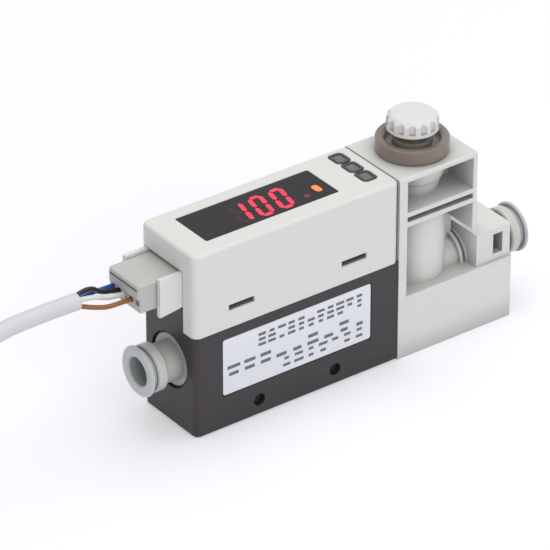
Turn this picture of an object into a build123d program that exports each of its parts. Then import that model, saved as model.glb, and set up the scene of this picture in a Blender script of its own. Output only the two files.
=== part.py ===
from build123d import *
from math import cos, pi, radians, sin, sqrt, tan
import os

os.makedirs("parts", exist_ok=True)

# A digital flow switch with a throttle valve. +X runs along the flow, +Z is up, and the origin is
# under the middle of the overall length, on the surface that the switch stands on.

# Outside of the switch
body_width = 18.0
body_length = 50.0
base_height = 23.0
cover_height = 18.5
base_inset = 0.2
port_drop = 8.8
fitting_reach = 7.6
corner_radius = 1.6
edge_radius = 0.7

# Clearances
running_gap = 0.05
slip_gap = 0.15
seat_gap = 0.1

# Housing walls
housing_wall = 1.2
housing_top = 1.6

# Rim of the base inside the housing, and its hooks
rim_wall = 1.2
rim_drop = 9.9
bib_drop = 2.0
hook_spacing = 27.5
hook_length = 5.8
hook_height = 0.9
hook_reach = 0.85
slot_margin = 0.2
slot_drop = 2.5

# Label recess and side pockets
label_margin = 6.65
label_foot = 7.45
label_drop = 2.45
label_depth = 0.25
label_gap = 0.2
side_pocket_radius = 1.35
side_pocket_depth = 1.5
side_pocket_spacing = 18.7
side_pocket_z = 3.5

# Mounting holes in the bottom
mount_hole_radius = 1.25
mount_hole_depth = 6.0
mount_hole_start = 8.0
mount_hole_end = 12.0
mount_hole_pitch_y = 11.0

# Flow passage
channel_radius = 4.0
channel_start = 15.5
throat_radius = 2.3
tube_seat_depth = 12.0

# Tube fitting, measured outwards from the end face that it stands on
tube_radius = 3.0
tube_clearance = 0.05
barrel_radius = 5.5
barrel_depth = 7.2
barrel_shoulder = 0.6
chamber_radius = 4.1
chamber_start = 1.2
neck_radius = 4.2
neck_bore = 3.65
collar_radius = 5.0
collar_start = 3.4
button_flange = 5.35
button_flange_length = 0.9
button_hub_radius = 4.4
button_hub_length = 1.7
release_travel = 0.8
release_margin = 0.1
sleeve_depth = 0.5
mouth_relief_radius = 6.0
mouth_relief_depth = 0.9
ring_groove_centre = 6.0
ring_groove_width = 1.2
ring_groove_radius = 4.65
ring_section = 0.44
clip_centre = 3.4
clip_slot_width = 2.0
clip_groove_radius = 4.85
clip_thickness = 1.8
clip_height = 12.2
clip_back = 2.0
collet_length = 3.1
collet_bore = 3.2
collet_slots = 8
collet_slot_width = 0.4
collet_slot_depth = 2.2
seal_bore = 2.95

# Joint between the base and the valve block
spigot_radius = 5.4
spigot_length = 3.0
spigot_bore = 3.6
screw_radius = 1.25
screw_head_radius = 2.1
screw_head_height = 1.6
screw_sink = 3.0
screw_bite = 7.5
screw_y = 6.0

# Valve block
valve_offset = 0.2
tower_length = 19.6
post_width = 2.0
right_post_width = 1.0
deck_top = 1.0
web_thickness = 2.0
upper_rib_drop = 8.0
rib_spacing = 2.2
rib_thickness = 1.05
column_radius = 6.9
column_collar_radius = 7.1
column_collar_height = 2.25
bowl_top_radius = 8.1
bowl_foot_radius = 5.3
pipe_radius = 4.6
pipe_ring_radius = 5.5
pipe_ring_width = 0.7
box_gap = 0.8
box_length = 8.9
box_rise = 7.3
box_recess = 0.6
low_window_rise = 9.8
clip_window_low = 1.5
clip_window_high = 6.1

# Passages of the throttle valve
entry_bore = 2.0
entry_drop = 3.0
seat_bore = 2.0
seat_rise = 0.2
valve_chamber = 3.2
valve_chamber_height = 9.6
side_bore_rise = 2.0
bonnet_radius = 4.0
bonnet_reach = 3.1
bonnet_flange_radius = 6.1
bonnet_flange_drop = 5.5
bonnet_flange_thickness = 1.4
bonnet_ring_rise = 2.8
bonnet_ring_section = 0.36
bonnet_groove_depth = 0.7
stem_radius = 2.5
stem_foot_rise = 1.5
stem_cover = 1.2
stem_neck_radius = 1.7
needle_disc_radius = 2.6
needle_disc_height = 2.7
needle_lift_down = 1.3
needle_tip_length = 3.2
needle_tip_radius = 0.5
needle_cone_radius = 1.7
stem_ring_rise = 3.7
stem_ring_section = 0.4
stem_groove_width = 1.2

# Lock ring and knob
lock_ring_radius = 7.5
lock_ring_height = 3.2
lock_ring_recess = 5.7
lock_ring_floor = 1.8
knob_rise = 4.8
knob_height = 3.8
knob_radius = 5.3
knob_top_radius = 4.4
knob_shoulder = 2.6
knob_chamfer = 0.85
knob_band = 0.9
knob_flutes = 14
flute_radius = 0.72

# Display window, keys and board
window_start = 5.8
window_end = 12.0
window_width = 10.6
window_y = 0.3
window_thickness = 0.8
window_drop = 0.05
window_ledge = 1.0
display_end_margin = 2.1
display_side_margin = 0.3
key_inset = 4.15
key_near_margin = 3.65
key_far_margin = 1.45
key_length = 3.4
key_gap = 0.25
key_corner = 1.1
key_rise = 0.1
key_travel = 0.4
key_flange = 0.7
key_flange_thickness = 0.6
key_stem_radius = 0.9
key_stem_length = 4.4
key_stem_offset = 0.6
key_dish_margin = 0.65
key_dish_depth = 0.25
switch_gap = 0.8
switch_height = 3.0
plunger_radius = 0.8
board_start = 4.5
board_thickness = 1.0
board_margin = 0.15

# Connector and plug
ways = 5
way_pitch = 2.0
connector_side = 1.5
connector_rise = 0.9
shroud_width = 12.5
shroud_wall = 1.0
shroud_above = 4.6
shroud_below = 3.1
shroud_lip_below = 3.8
shroud_reach = 5.3
header_depth = 4.2
header_back = 3.0
header_floor = 0.8
pin_side = 0.5
pin_reach = 3.5
pin_tail = 5.6
plug_width = 10.2
plug_above = 4.1
plug_below = 1.9
plug_reach = 9.6
plug_insert = 0.9
cavity_side = 1.3
cavity_end = 7.0
contact_side = 1.05
contact_length = 5.0
plate_thickness = 0.8
slit_height = 0.5
slit_depth = 2.6
slit_length = 9.2
core_face_recess = 0.5

# Flow sensor
sensor_x = 27.0
sensor_length = 9.0
sensor_width = 7.0
sensor_height = 3.0
sensor_floor_rise = 4.2
sensor_seal_height = 0.8
nozzle_length = 5.0
nozzle_width = 3.0
nozzle_reach = 1.2
sensor_pin_pitch = 2.0
mesh_radius = 3.9
mesh_thickness = 1.0
mesh_rim = 0.7
mesh_bar = 0.35

# Lead
sheath_radius = 1.75
core_radius = 0.5
core_offset = 0.62
hank_run = 55.0
hank_fold_radius = 10.0
hank_columns = 3
hank_layers = 3
hank_entry = 4.5
end_core_pitch = 1.9
end_core_offset = 0.8
end_core_turns = (120.0, 150.0)

# Places that follow from the sizes
body_height = base_height + cover_height
port_height = base_height - port_drop
block_length = tower_length + box_gap + box_length
box_start = tower_length + box_gap
overall_length = body_length + block_length + 2 * fitting_reach
inlet_face = -overall_length / 2 + fitting_reach
joint_face = inlet_face + body_length
outlet_face = joint_face + block_length
half_width = body_width / 2
base_half_width = half_width - base_inset
body_centre = inlet_face + body_length / 2
cavity_half_width = half_width - housing_wall
ceiling = body_height - housing_top
tube_bore = tube_radius + tube_clearance
pocket_radius = barrel_radius + running_gap
pocket_depth = barrel_depth + 2 * seat_gap
collar_end = fitting_reach - button_flange_length - release_travel - release_margin
valve_axis = joint_face + tower_length / 2 + valve_offset
tower_end = joint_face + tower_length
rim_top = ceiling - rim_drop
bib_top = rim_top - bib_drop
slot_height = rim_top - slot_drop
board_top = rim_top + board_thickness
connector_y = half_width - connector_side - shroud_width / 2
connector_z = board_top + connector_rise
shroud_top = connector_z + shroud_above
shroud_bottom = connector_z - shroud_below
shroud_lip = connector_z - shroud_lip_below
plug_top = connector_z + plug_above
plug_bottom = connector_z - plug_below
window_length = body_length - window_start - window_end
window_x = window_start + window_length / 2
display_length = window_length - 2 * (window_ledge + display_end_margin)
display_width = window_width - 2 * (window_ledge + display_side_margin)
key_x = body_length - key_inset
key_pitch = (body_width - key_near_margin - key_far_margin) / 3
key_y = half_width - key_far_margin - 1.5 * key_pitch
key_width = key_pitch - key_gap
switch_side = key_pitch - switch_gap
screw_z = (port_height - clip_height / 2 - seat_gap) / 2
label_length = body_length - 2 * label_margin
label_height = base_height - label_foot - label_drop
label_z = label_foot + label_height / 2
mount_hole_pitch_x = body_length - mount_hole_start - mount_hole_end
mount_hole_x = mount_hole_start + mount_hole_pitch_x / 2
sensor_floor = port_height + sensor_floor_rise
deck_height = port_height
box_top = port_height + box_rise
upper_rib_top = body_height - upper_rib_drop
lower_rib_top = upper_rib_top - rib_spacing
entry_height = port_height - entry_drop
seat_height = port_height + seat_rise
bonnet_foot = seat_height + valve_chamber_height
bonnet_top = body_height + bonnet_reach
bonnet_flange_z = body_height - bonnet_flange_drop
bonnet_ring_z = bonnet_foot + bonnet_ring_rise
stem_foot = bonnet_foot + stem_foot_rise
stem_ring_z = bonnet_foot + stem_ring_rise
knob_bottom = body_height + knob_rise
knob_top = knob_bottom + knob_height
stem_top = knob_top - stem_cover
hook_xs = [body_centre - hook_spacing / 2, body_centre + hook_spacing / 2]
way_ys = [connector_y + (i - (ways - 1) / 2) * way_pitch for i in range(ways)]

# For each port: the end face and the way out of it
ports = {"inlet": (inlet_face, -1), "outlet": (outlet_face, 1)}


def port_profile(face, out):
    """Plane for turned profiles of a port: x is the distance outwards, y is the radius."""
    return Plane(origin=(face, 0, port_height), x_dir=(out, 0, 0), z_dir=(0, -out, 0))


def port_axis(face, out):
    """The centre line of a port, pointing out of it."""
    return Axis((face, 0, port_height), (out, 0, 0))


def pocket_outline(relief):
    """Half section of the pocket that takes a fitting and the end of its tube."""
    mouth = [(0.5, 0), (0.5, mouth_relief_radius), (-mouth_relief_depth, mouth_relief_radius)]
    plain = [(0.5, 0), (0.5, pocket_radius)]
    start = mouth + [(-mouth_relief_depth, pocket_radius)] if relief else plain
    return start + [
        (-pocket_depth, pocket_radius),
        (-pocket_depth, tube_bore),
        (-tube_seat_depth, tube_bore),
        (-tube_seat_depth, 0),
    ]


def clip_slot_span():
    """Low and high ends of the slot for a clip, about the port's centre line."""
    return clip_height / 2 + seat_gap


# Black base with the flow passage
with BuildPart() as lower_body:
    with BuildSketch():
        with Locations(((inlet_face + base_inset + joint_face) / 2, 0)):
            Rectangle(body_length - base_inset, 2 * base_half_width)
    extrude(amount=base_height)
    fillet(lower_body.edges().filter_by(Axis.Z).group_by(Axis.X)[0], corner_radius - base_inset)
    chamfer(lower_body.faces().sort_by(Axis.Z)[0].edges(), 0.4)
    rim_half = cavity_half_width - slip_gap
    rim_start = inlet_face + housing_wall + slip_gap
    rim_end = joint_face - housing_wall - slip_gap
    with BuildSketch(Plane.XY.offset(base_height)):
        with Locations(((rim_start + rim_end) / 2, 0)):
            Rectangle(rim_end - rim_start, 2 * rim_half)
            Rectangle(rim_end - rim_start - 2 * rim_wall, 2 * (rim_half - rim_wall), mode=Mode.SUBTRACT)
    extrude(amount=rim_top - base_height)
    # Bib that closes the notch under the connector, and the header's bed in the rim behind it
    with BuildSketch(Plane.XY.offset(base_height)):
        with Locations(((inlet_face + base_inset + rim_start) / 2, connector_y)):
            Rectangle(rim_start - inlet_face - base_inset, shroud_width - 2 * slip_gap)
    extrude(amount=bib_top - base_height)
    with BuildSketch(Plane.XY.offset(bib_top)):
        with Locations((rim_start + header_depth / 2, connector_y)):
            Rectangle(header_depth + 1, shroud_width + 2 * slip_gap)
    extrude(amount=rim_top - bib_top, mode=Mode.SUBTRACT)
    # Hooks that hold the housing
    for x in hook_xs:
        with BuildSketch(Plane.YZ.offset(x - hook_length / 2)):
            with BuildLine():
                Polyline(
                    (rim_half - rim_wall / 2, slot_height - hook_height / 2),
                    (rim_half + slip_gap + hook_reach, slot_height - hook_height / 2),
                    (rim_half + slip_gap + hook_reach, slot_height),
                    (rim_half, slot_height + hook_height / 2),
                    (rim_half - rim_wall / 2, slot_height + hook_height / 2),
                    close=True,
                )
            make_face()
            mirror(about=Plane.YZ)
        extrude(amount=hook_length)
    # Flow passage with its sensor opening
    with BuildSketch(Plane.YZ.offset(joint_face)):
        with Locations((0, port_height)):
            Circle(channel_radius)
    extrude(amount=channel_start - body_length, mode=Mode.SUBTRACT)
    with BuildSketch(Plane.YZ.offset(joint_face)):
        with Locations((0, port_height)):
            Circle(spigot_radius + running_gap)
    extrude(amount=-spigot_length - 2 * seat_gap, mode=Mode.SUBTRACT)
    with BuildSketch(Plane.YZ.offset(inlet_face + channel_start + 1)):
        with Locations((0, port_height)):
            Circle(throat_radius)
    extrude(amount=tube_seat_depth - channel_start - 2, mode=Mode.SUBTRACT)
    with BuildSketch(Plane.XY.offset(sensor_floor)):
        with Locations((inlet_face + sensor_x, 0)):
            Rectangle(sensor_length + 2 * slip_gap, sensor_width + 2 * slip_gap)
    extrude(amount=base_height - sensor_floor, mode=Mode.SUBTRACT)
    with BuildSketch(Plane.XY.offset(port_height)):
        with Locations((inlet_face + sensor_x, 0)):
            Rectangle(nozzle_length + 2 * slip_gap, nozzle_width + 2 * slip_gap)
    extrude(amount=base_height - port_height, mode=Mode.SUBTRACT)
    # Pocket for the inlet fitting, and the slot for its clip from the far side
    with BuildSketch(port_profile(*ports["inlet"])):
        with BuildLine():
            Polyline(*pocket_outline(relief=True), close=True)
        make_face()
    revolve(axis=port_axis(*ports["inlet"]), mode=Mode.SUBTRACT)
    with BuildSketch(Plane.XZ.offset(barrel_radius + clip_back / 2)):
        with Locations((inlet_face + clip_centre, port_height)):
            Rectangle(clip_slot_width, 2 * clip_slot_span())
    extrude(amount=-body_width, mode=Mode.SUBTRACT)
    # Label recess, side pockets, mounting holes and the pilots for the joint screws
    with BuildSketch(Plane.XZ.offset(base_half_width)):
        with Locations((body_centre, label_z)):
            Rectangle(label_length, label_height)
    extrude(amount=-label_depth, mode=Mode.SUBTRACT)
    for side in (-1, 1):
        with BuildSketch(Plane.XZ.offset(side * base_half_width)):
            with Locations((body_centre, side_pocket_z)):
                with GridLocations(side_pocket_spacing, 1, 2, 1):
                    Circle(side_pocket_radius)
        extrude(amount=-side * side_pocket_depth, mode=Mode.SUBTRACT)
    with BuildSketch():
        with Locations((inlet_face + mount_hole_x, 0)):
            with GridLocations(mount_hole_pitch_x, mount_hole_pitch_y, 2, 2):
                Circle(mount_hole_radius)
    extrude(amount=mount_hole_depth, mode=Mode.SUBTRACT)
    with BuildSketch(Plane.YZ.offset(joint_face)):
        with Locations((-screw_y, screw_z), (screw_y, screw_z)):
            Circle(screw_radius - running_gap)
    extrude(amount=-screw_bite - 1, mode=Mode.SUBTRACT)
lower_body.part.label = "lower_body"
export_step(lower_body.part, "parts/lower_body.step")

# White housing over the electronics
with BuildPart() as upper_housing:
    with BuildSketch(Plane.XY.offset(base_height)):
        with Locations((body_centre, 0)):
            RectangleRounded(body_length, body_width, corner_radius)
    extrude(amount=body_height - base_height)
    fillet(upper_housing.faces().sort_by(Axis.Z)[-1].edges(), edge_radius)
    with BuildSketch(Plane.XY.offset(base_height)):
        with Locations((body_centre, 0)):
            Rectangle(body_length - 2 * housing_wall, 2 * cavity_half_width)
    extrude(amount=ceiling - base_height, mode=Mode.SUBTRACT)
    # Opening in the inlet end for the connector, open at the bottom
    end_opening_top = shroud_top + 2 * seat_gap
    with BuildSketch(Plane.YZ.offset(inlet_face - 1)):
        with Locations((connector_y, (base_height + end_opening_top) / 2)):
            Rectangle(shroud_width + 2 * seat_gap, end_opening_top - base_height)
    extrude(amount=housing_wall + 2, mode=Mode.SUBTRACT)
    # Snap slots on both sides
    with BuildSketch(Plane.XZ.offset(half_width + 1)):
        with Locations(*[(x, slot_height) for x in hook_xs]):
            Rectangle(hook_length + 2 * slot_margin, hook_height + 2 * slot_margin)
    extrude(amount=-body_width - 2, mode=Mode.SUBTRACT)
    # Window recess with its ledge
    with BuildSketch(Plane.XY.offset(body_height)):
        with Locations((inlet_face + window_x, window_y)):
            RectangleRounded(window_length, window_width, 0.4)
    extrude(amount=-window_thickness - window_drop, mode=Mode.SUBTRACT)
    with BuildSketch(Plane.XY.offset(body_height)):
        with Locations((inlet_face + window_x, window_y)):
            Rectangle(window_length - 2 * window_ledge, window_width - 2 * window_ledge)
    extrude(amount=-housing_top, mode=Mode.SUBTRACT)
    # Scalloped opening for the three keys
    with BuildSketch(Plane.XY.offset(body_height)):
        with Locations((inlet_face + key_x, key_y)):
            with GridLocations(1, key_pitch, 1, 3):
                RectangleRounded(key_length + key_gap, key_pitch + 0.01, key_corner)
    extrude(amount=-housing_top, mode=Mode.SUBTRACT)
upper_housing.part.label = "upper_housing"
export_step(upper_housing.part, "parts/upper_housing.step")

# Dark window over the digits
with BuildPart() as display_window:
    with BuildSketch(Plane.XY.offset(body_height - window_drop)):
        with Locations((inlet_face + window_x, window_y)):
            RectangleRounded(window_length - 2 * seat_gap, window_width - 2 * seat_gap, 0.3)
    extrude(amount=-window_thickness)
display_window.part.label = "display_window"
export_step(display_window.part, "parts/display_window.step")

# Circuit board on the rim of the base, drilled for the header and sensor pins
board_end = joint_face - housing_wall - slip_gap - board_margin
with BuildPart() as circuit_board:
    with BuildSketch(Plane.XY.offset(rim_top)):
        with Locations(((inlet_face + board_start + board_end) / 2, 0)):
            Rectangle(board_end - inlet_face - board_start, 2 * (rim_half - board_margin))
        with Locations(*[(inlet_face + pin_tail, y) for y in way_ys]):
            Rectangle(pin_side + 2 * slip_gap, pin_side + 2 * slip_gap, mode=Mode.SUBTRACT)
        with Locations((inlet_face + sensor_x, 0)):
            with GridLocations(sensor_pin_pitch, 1, 4, 1):
                Rectangle(pin_side + 2 * slip_gap, pin_side + 2 * slip_gap, mode=Mode.SUBTRACT)
    extrude(amount=board_thickness)
circuit_board.part.label = "circuit_board"
export_step(circuit_board.part, "parts/circuit_board.step")

# Digit block on the board under the window
display_top = body_height - window_drop - window_thickness - 3 * seat_gap
with BuildPart() as display_module:
    with BuildSketch(Plane.XY.offset(board_top)):
        with Locations((inlet_face + window_x, window_y)):
            Rectangle(display_length, display_width)
    extrude(amount=display_top - board_top)
display_module.part.label = "display_module"
export_step(display_module.part, "parts/display_module.step")

# Three push switches on the board under the keys
key_stem_bottom = ceiling - seat_gap - key_stem_length
plunger_top = key_stem_bottom - key_travel - seat_gap
with BuildPart() as tact_switches:
    with BuildSketch(Plane.XY.offset(board_top)):
        with Locations((inlet_face + key_x - key_stem_offset, key_y)):
            with GridLocations(1, key_pitch, 1, 3):
                Rectangle(switch_side, switch_side)
    extrude(amount=switch_height)
    with BuildSketch(Plane.XY.offset(board_top + switch_height)):
        with Locations((inlet_face + key_x - key_stem_offset, key_y)):
            with GridLocations(1, key_pitch, 1, 3):
                Circle(plunger_radius)
    extrude(amount=plunger_top - board_top - switch_height)
tact_switches.part.label = "tact_switches"
export_step(tact_switches.part, "parts/tact_switches.step")

# Keys, held under the housing's top by a flange
for i, name in enumerate(["down_button", "up_button", "set_button"]):
    y = key_y + (i - 1) * key_pitch
    with BuildPart() as key:
        with BuildSketch(Plane.XY.offset(ceiling - seat_gap)):
            with Locations((inlet_face + key_x, y)):
                RectangleRounded(key_length, key_width, key_corner)
        extrude(amount=body_height + key_rise - ceiling + seat_gap)
        fillet(key.faces().sort_by(Axis.Z)[-1].edges(), 0.25)
        with BuildSketch(Plane.XY.offset(body_height + key_rise)):
            with Locations((inlet_face + key_x, y)):
                RectangleRounded(key_length - 2 * key_dish_margin, key_width - 2 * key_dish_margin, key_corner / 2)
        extrude(amount=-key_dish_depth, mode=Mode.SUBTRACT)
        with BuildSketch(Plane.XY.offset(ceiling - seat_gap)):
            with Locations((inlet_face + key_x, y)):
                Rectangle(key_length + 2 * key_flange, key_width)
        extrude(amount=-key_flange_thickness)
        with BuildSketch(Plane.XY.offset(ceiling - seat_gap)):
            with Locations((inlet_face + key_x - key_stem_offset, y)):
                Circle(key_stem_radius)
        extrude(amount=-key_stem_length)
    key.part.label = name
    export_step(key.part, f"parts/{name}.step")

# Shroud of the connector, soldered at the board's inlet end
with BuildPart() as socket_header:
    with BuildSketch(Plane.XZ.offset(shroud_width / 2 - connector_y)):
        with BuildLine():
            Polyline(
                (inlet_face - shroud_reach, shroud_lip),
                (inlet_face, shroud_bottom),
                (inlet_face + header_depth, shroud_bottom),
                (inlet_face + header_depth, shroud_top),
                (inlet_face - shroud_reach, shroud_top),
                close=True,
            )
        make_face()
    extrude(amount=-shroud_width)
    with BuildSketch(Plane.XY.offset(shroud_bottom + header_floor)):
        with Locations((inlet_face - shroud_reach / 2 - 0.5 + (header_depth - header_back) / 2, connector_y)):
            Rectangle(shroud_reach + 1 + header_depth - header_back, shroud_width - 2 * shroud_wall)
    extrude(amount=shroud_top - shroud_bottom, mode=Mode.SUBTRACT)
    with BuildSketch(Plane.XY.offset(shroud_lip - 1)):
        with Locations((inlet_face - shroud_reach - 0.5, connector_y)):
            Rectangle(4, shroud_width - 2 * shroud_wall)
    extrude(amount=shroud_top - shroud_lip + 1, mode=Mode.SUBTRACT)
    with BuildSketch(Plane.YZ.offset(inlet_face)):
        with Locations(*[(y, connector_z) for y in way_ys]):
            Rectangle(pin_side + 0.1, pin_side + 0.1)
    extrude(amount=header_depth + 1, mode=Mode.SUBTRACT)
socket_header.part.label = "socket_header"
export_step(socket_header.part, "parts/socket_header.step")

# Bent pins of the header
with BuildPart() as header_pins:
    with BuildSketch(Plane.YZ.offset(inlet_face - pin_reach)):
        with Locations(*[(y, connector_z) for y in way_ys]):
            Rectangle(pin_side, pin_side)
    extrude(amount=pin_reach + pin_tail + pin_side / 2)
    with BuildSketch(Plane.XY.offset(connector_z)):
        with Locations(*[(inlet_face + pin_tail, y) for y in way_ys]):
            Rectangle(pin_side, pin_side)
    extrude(amount=rim_top - connector_z - 0.8)
header_pins.part.label = "header_pins"
export_step(header_pins.part, "parts/header_pins.step")

# Silver label in its recess on the near side
with BuildPart() as side_label:
    with BuildSketch(Plane.XZ.offset(base_half_width - label_depth)):
        with Locations((body_centre, label_z)):
            RectangleRounded(label_length - 2 * label_gap, label_height - 2 * label_gap, 0.5)
    extrude(amount=label_depth - 0.05)
side_label.part.label = "side_label"
export_step(side_label.part, "parts/side_label.step")

# Flow sensor over the channel, on a frame seal
sensor_seat = sensor_floor + sensor_seal_height
with BuildPart() as sensor_seal:
    with BuildSketch(Plane.XY.offset(sensor_floor)):
        with Locations((inlet_face + sensor_x, 0)):
            Rectangle(sensor_length, sensor_width)
            Rectangle(nozzle_length + 2 * slip_gap, nozzle_width + 2 * slip_gap, mode=Mode.SUBTRACT)
    extrude(amount=sensor_seal_height)
sensor_seal.part.label = "sensor_seal"
export_step(sensor_seal.part, "parts/sensor_seal.step")

with BuildPart() as flow_sensor:
    with BuildSketch(Plane.XY.offset(sensor_seat)):
        with Locations((inlet_face + sensor_x, 0)):
            Rectangle(sensor_length, sensor_width)
    extrude(amount=sensor_height)
    with BuildSketch(Plane.XY.offset(sensor_seat)):
        with Locations((inlet_face + sensor_x, 0)):
            Rectangle(nozzle_length, nozzle_width)
    extrude(amount=-sensor_seal_height - nozzle_reach)
    with BuildSketch(Plane.XY.offset(sensor_seat + sensor_height)):
        with Locations((inlet_face + sensor_x, 0)):
            with GridLocations(sensor_pin_pitch, 1, 4, 1):
                Rectangle(pin_side, pin_side)
    extrude(amount=board_top - seat_gap - sensor_seat - sensor_height)
flow_sensor.part.label = "flow_sensor"
export_step(flow_sensor.part, "parts/flow_sensor.step")

# Two mesh discs that even out the flow before the sensor
with BuildPart() as flow_mesh:
    for x in (channel_start, channel_start + 4.0):
        with BuildSketch(Plane.YZ.offset(inlet_face + x)):
            with Locations((0, port_height)):
                Circle(mesh_radius)
                Circle(mesh_radius - mesh_rim, mode=Mode.SUBTRACT)
        extrude(amount=mesh_thickness)
        with BuildSketch(Plane.YZ.offset(inlet_face + x)):
            with Locations((0, port_height)):
                with GridLocations(1.6, 1, 4, 1):
                    Rectangle(mesh_bar, 2 * mesh_radius)
                with GridLocations(1, 1.6, 1, 4):
                    Rectangle(2 * mesh_radius, mesh_bar)
                Circle(mesh_radius - mesh_rim / 2, mode=Mode.INTERSECT)
        extrude(amount=mesh_bar)
flow_mesh.part.label = "flow_mesh"
export_step(flow_mesh.part, "parts/flow_mesh.step")

# The two tube fittings, alike and facing opposite ways
for port, (face, out) in ports.items():
    profile = port_profile(face, out)
    centre_line = port_axis(face, out)

    with BuildPart() as fitting:
        with BuildSketch(profile):
            with BuildLine():
                Polyline(
                    (-barrel_depth, chamber_radius),
                    (-barrel_depth, barrel_radius),
                    (-ring_groove_centre - ring_groove_width / 2, barrel_radius),
                    (-ring_groove_centre - ring_groove_width / 2, ring_groove_radius),
                    (-ring_groove_centre + ring_groove_width / 2, ring_groove_radius),
                    (-ring_groove_centre + ring_groove_width / 2, barrel_radius),
                    (-clip_centre - clip_slot_width / 2, barrel_radius),
                    (-clip_centre - clip_slot_width / 2, clip_groove_radius),
                    (-clip_centre + clip_slot_width / 2, clip_groove_radius),
                    (-clip_centre + clip_slot_width / 2, barrel_radius),
                    (-barrel_shoulder, barrel_radius),
                    (-barrel_shoulder, neck_radius),
                    (collar_start, neck_radius),
                    (collar_start, collar_radius - 0.3),
                    (collar_start + 0.3, collar_radius),
                    (collar_end - 0.3, collar_radius),
                    (collar_end, collar_radius - 0.3),
                    (collar_end, button_hub_radius + running_gap),
                    (collar_end - button_hub_length, button_hub_radius + running_gap),
                    (collar_end - button_hub_length, neck_bore),
                    (-chamber_start, neck_bore),
                    (-chamber_start, chamber_radius),
                    close=True,
                )
            make_face()
        revolve(axis=centre_line)
    fitting.part.label = f"{port}_fitting"
    export_step(fitting.part, f"parts/{port}_fitting.step")

    flange_back = fitting_reach - button_flange_length
    hub_end = collar_end - button_hub_length + release_travel + release_margin
    with BuildPart() as release_button:
        with BuildSketch(profile):
            with BuildLine():
                Polyline(
                    (-sleeve_depth, tube_bore),
                    (-sleeve_depth, neck_bore - running_gap),
                    (hub_end, neck_bore - running_gap),
                    (hub_end, button_hub_radius),
                    (flange_back, button_hub_radius),
                    (flange_back, button_flange - 0.25),
                    (flange_back + 0.25, button_flange),
                    (fitting_reach - 0.35, button_flange),
                    (fitting_reach, button_flange - 0.45),
                    (fitting_reach, tube_bore + 0.35),
                    (fitting_reach - 0.35, tube_bore),
                    close=True,
                )
            make_face()
        revolve(axis=centre_line)
    release_button.part.label = f"{port}_release_button"
    export_step(release_button.part, f"parts/{port}_release_button.step")

    # Collet whose fingers point at the release sleeve
    collet_front = -sleeve_depth - release_travel - 2 * seat_gap
    collet_back = collet_front - collet_length
    with BuildPart() as collet:
        with BuildSketch(profile):
            with BuildLine():
                Polyline(
                    (collet_back, collet_bore),
                    (collet_back, chamber_radius - running_gap),
                    (collet_front, chamber_radius - running_gap),
                    (collet_front, chamber_radius - 0.3),
                    (collet_front - 0.6, collet_bore),
                    close=True,
                )
            make_face()
        revolve(axis=centre_line)
        slot_plane = Plane(origin=(face + out * collet_front, 0, port_height), z_dir=(out, 0, 0))
        with BuildSketch(slot_plane):
            with PolarLocations(chamber_radius - 0.5, collet_slots):
                Rectangle(2, collet_slot_width)
        extrude(amount=-collet_slot_depth, mode=Mode.SUBTRACT)
    collet.part.label = f"{port}_collet"
    export_step(collet.part, f"parts/{port}_collet.step")

    with BuildPart() as seal:
        with BuildSketch(profile):
            with BuildLine():
                Polyline(
                    (-pocket_depth + seat_gap, tube_bore + 0.3),
                    (-pocket_depth + seat_gap, chamber_radius - running_gap),
                    (collet_back - seat_gap, chamber_radius - running_gap),
                    (collet_back - seat_gap, tube_bore + 0.4),
                    (collet_back - seat_gap - 0.5, seal_bore),
                    (collet_back - seat_gap - 1.1, seal_bore),
                    close=True,
                )
            make_face()
        revolve(axis=centre_line)
    seal.part.label = f"{port}_seal"
    export_step(seal.part, f"parts/{port}_seal.step")

    with BuildPart() as o_ring:
        with BuildSketch(profile):
            with Locations((-ring_groove_centre, ring_groove_radius + ring_section)):
                Circle(ring_section)
        revolve(axis=centre_line)
    o_ring.part.label = f"{port}_o_ring"
    export_step(o_ring.part, f"parts/{port}_o_ring.step")

    # Forked clip, pushed in from the far side round the groove of the barrel
    clip_plane = Plane.YZ.offset(face - out * clip_centre - clip_thickness / 2)
    with BuildPart() as clip:
        with BuildSketch(clip_plane):
            with Locations((clip_back / 2, port_height)):
                Rectangle(2 * barrel_radius + clip_back, clip_height)
            with Locations((0, port_height)):
                Circle(clip_groove_radius + running_gap, mode=Mode.SUBTRACT)
            with Locations((-barrel_radius, port_height)):
                Rectangle(2 * barrel_radius, 2 * (clip_groove_radius + running_gap), mode=Mode.SUBTRACT)
        extrude(amount=clip_thickness)
        chamfer(clip.edges().filter_by(Axis.X).group_by(Axis.Y)[0], 0.3)
    clip.part.label = f"{port}_clip"
    export_step(clip.part, f"parts/{port}_clip.step")

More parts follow.
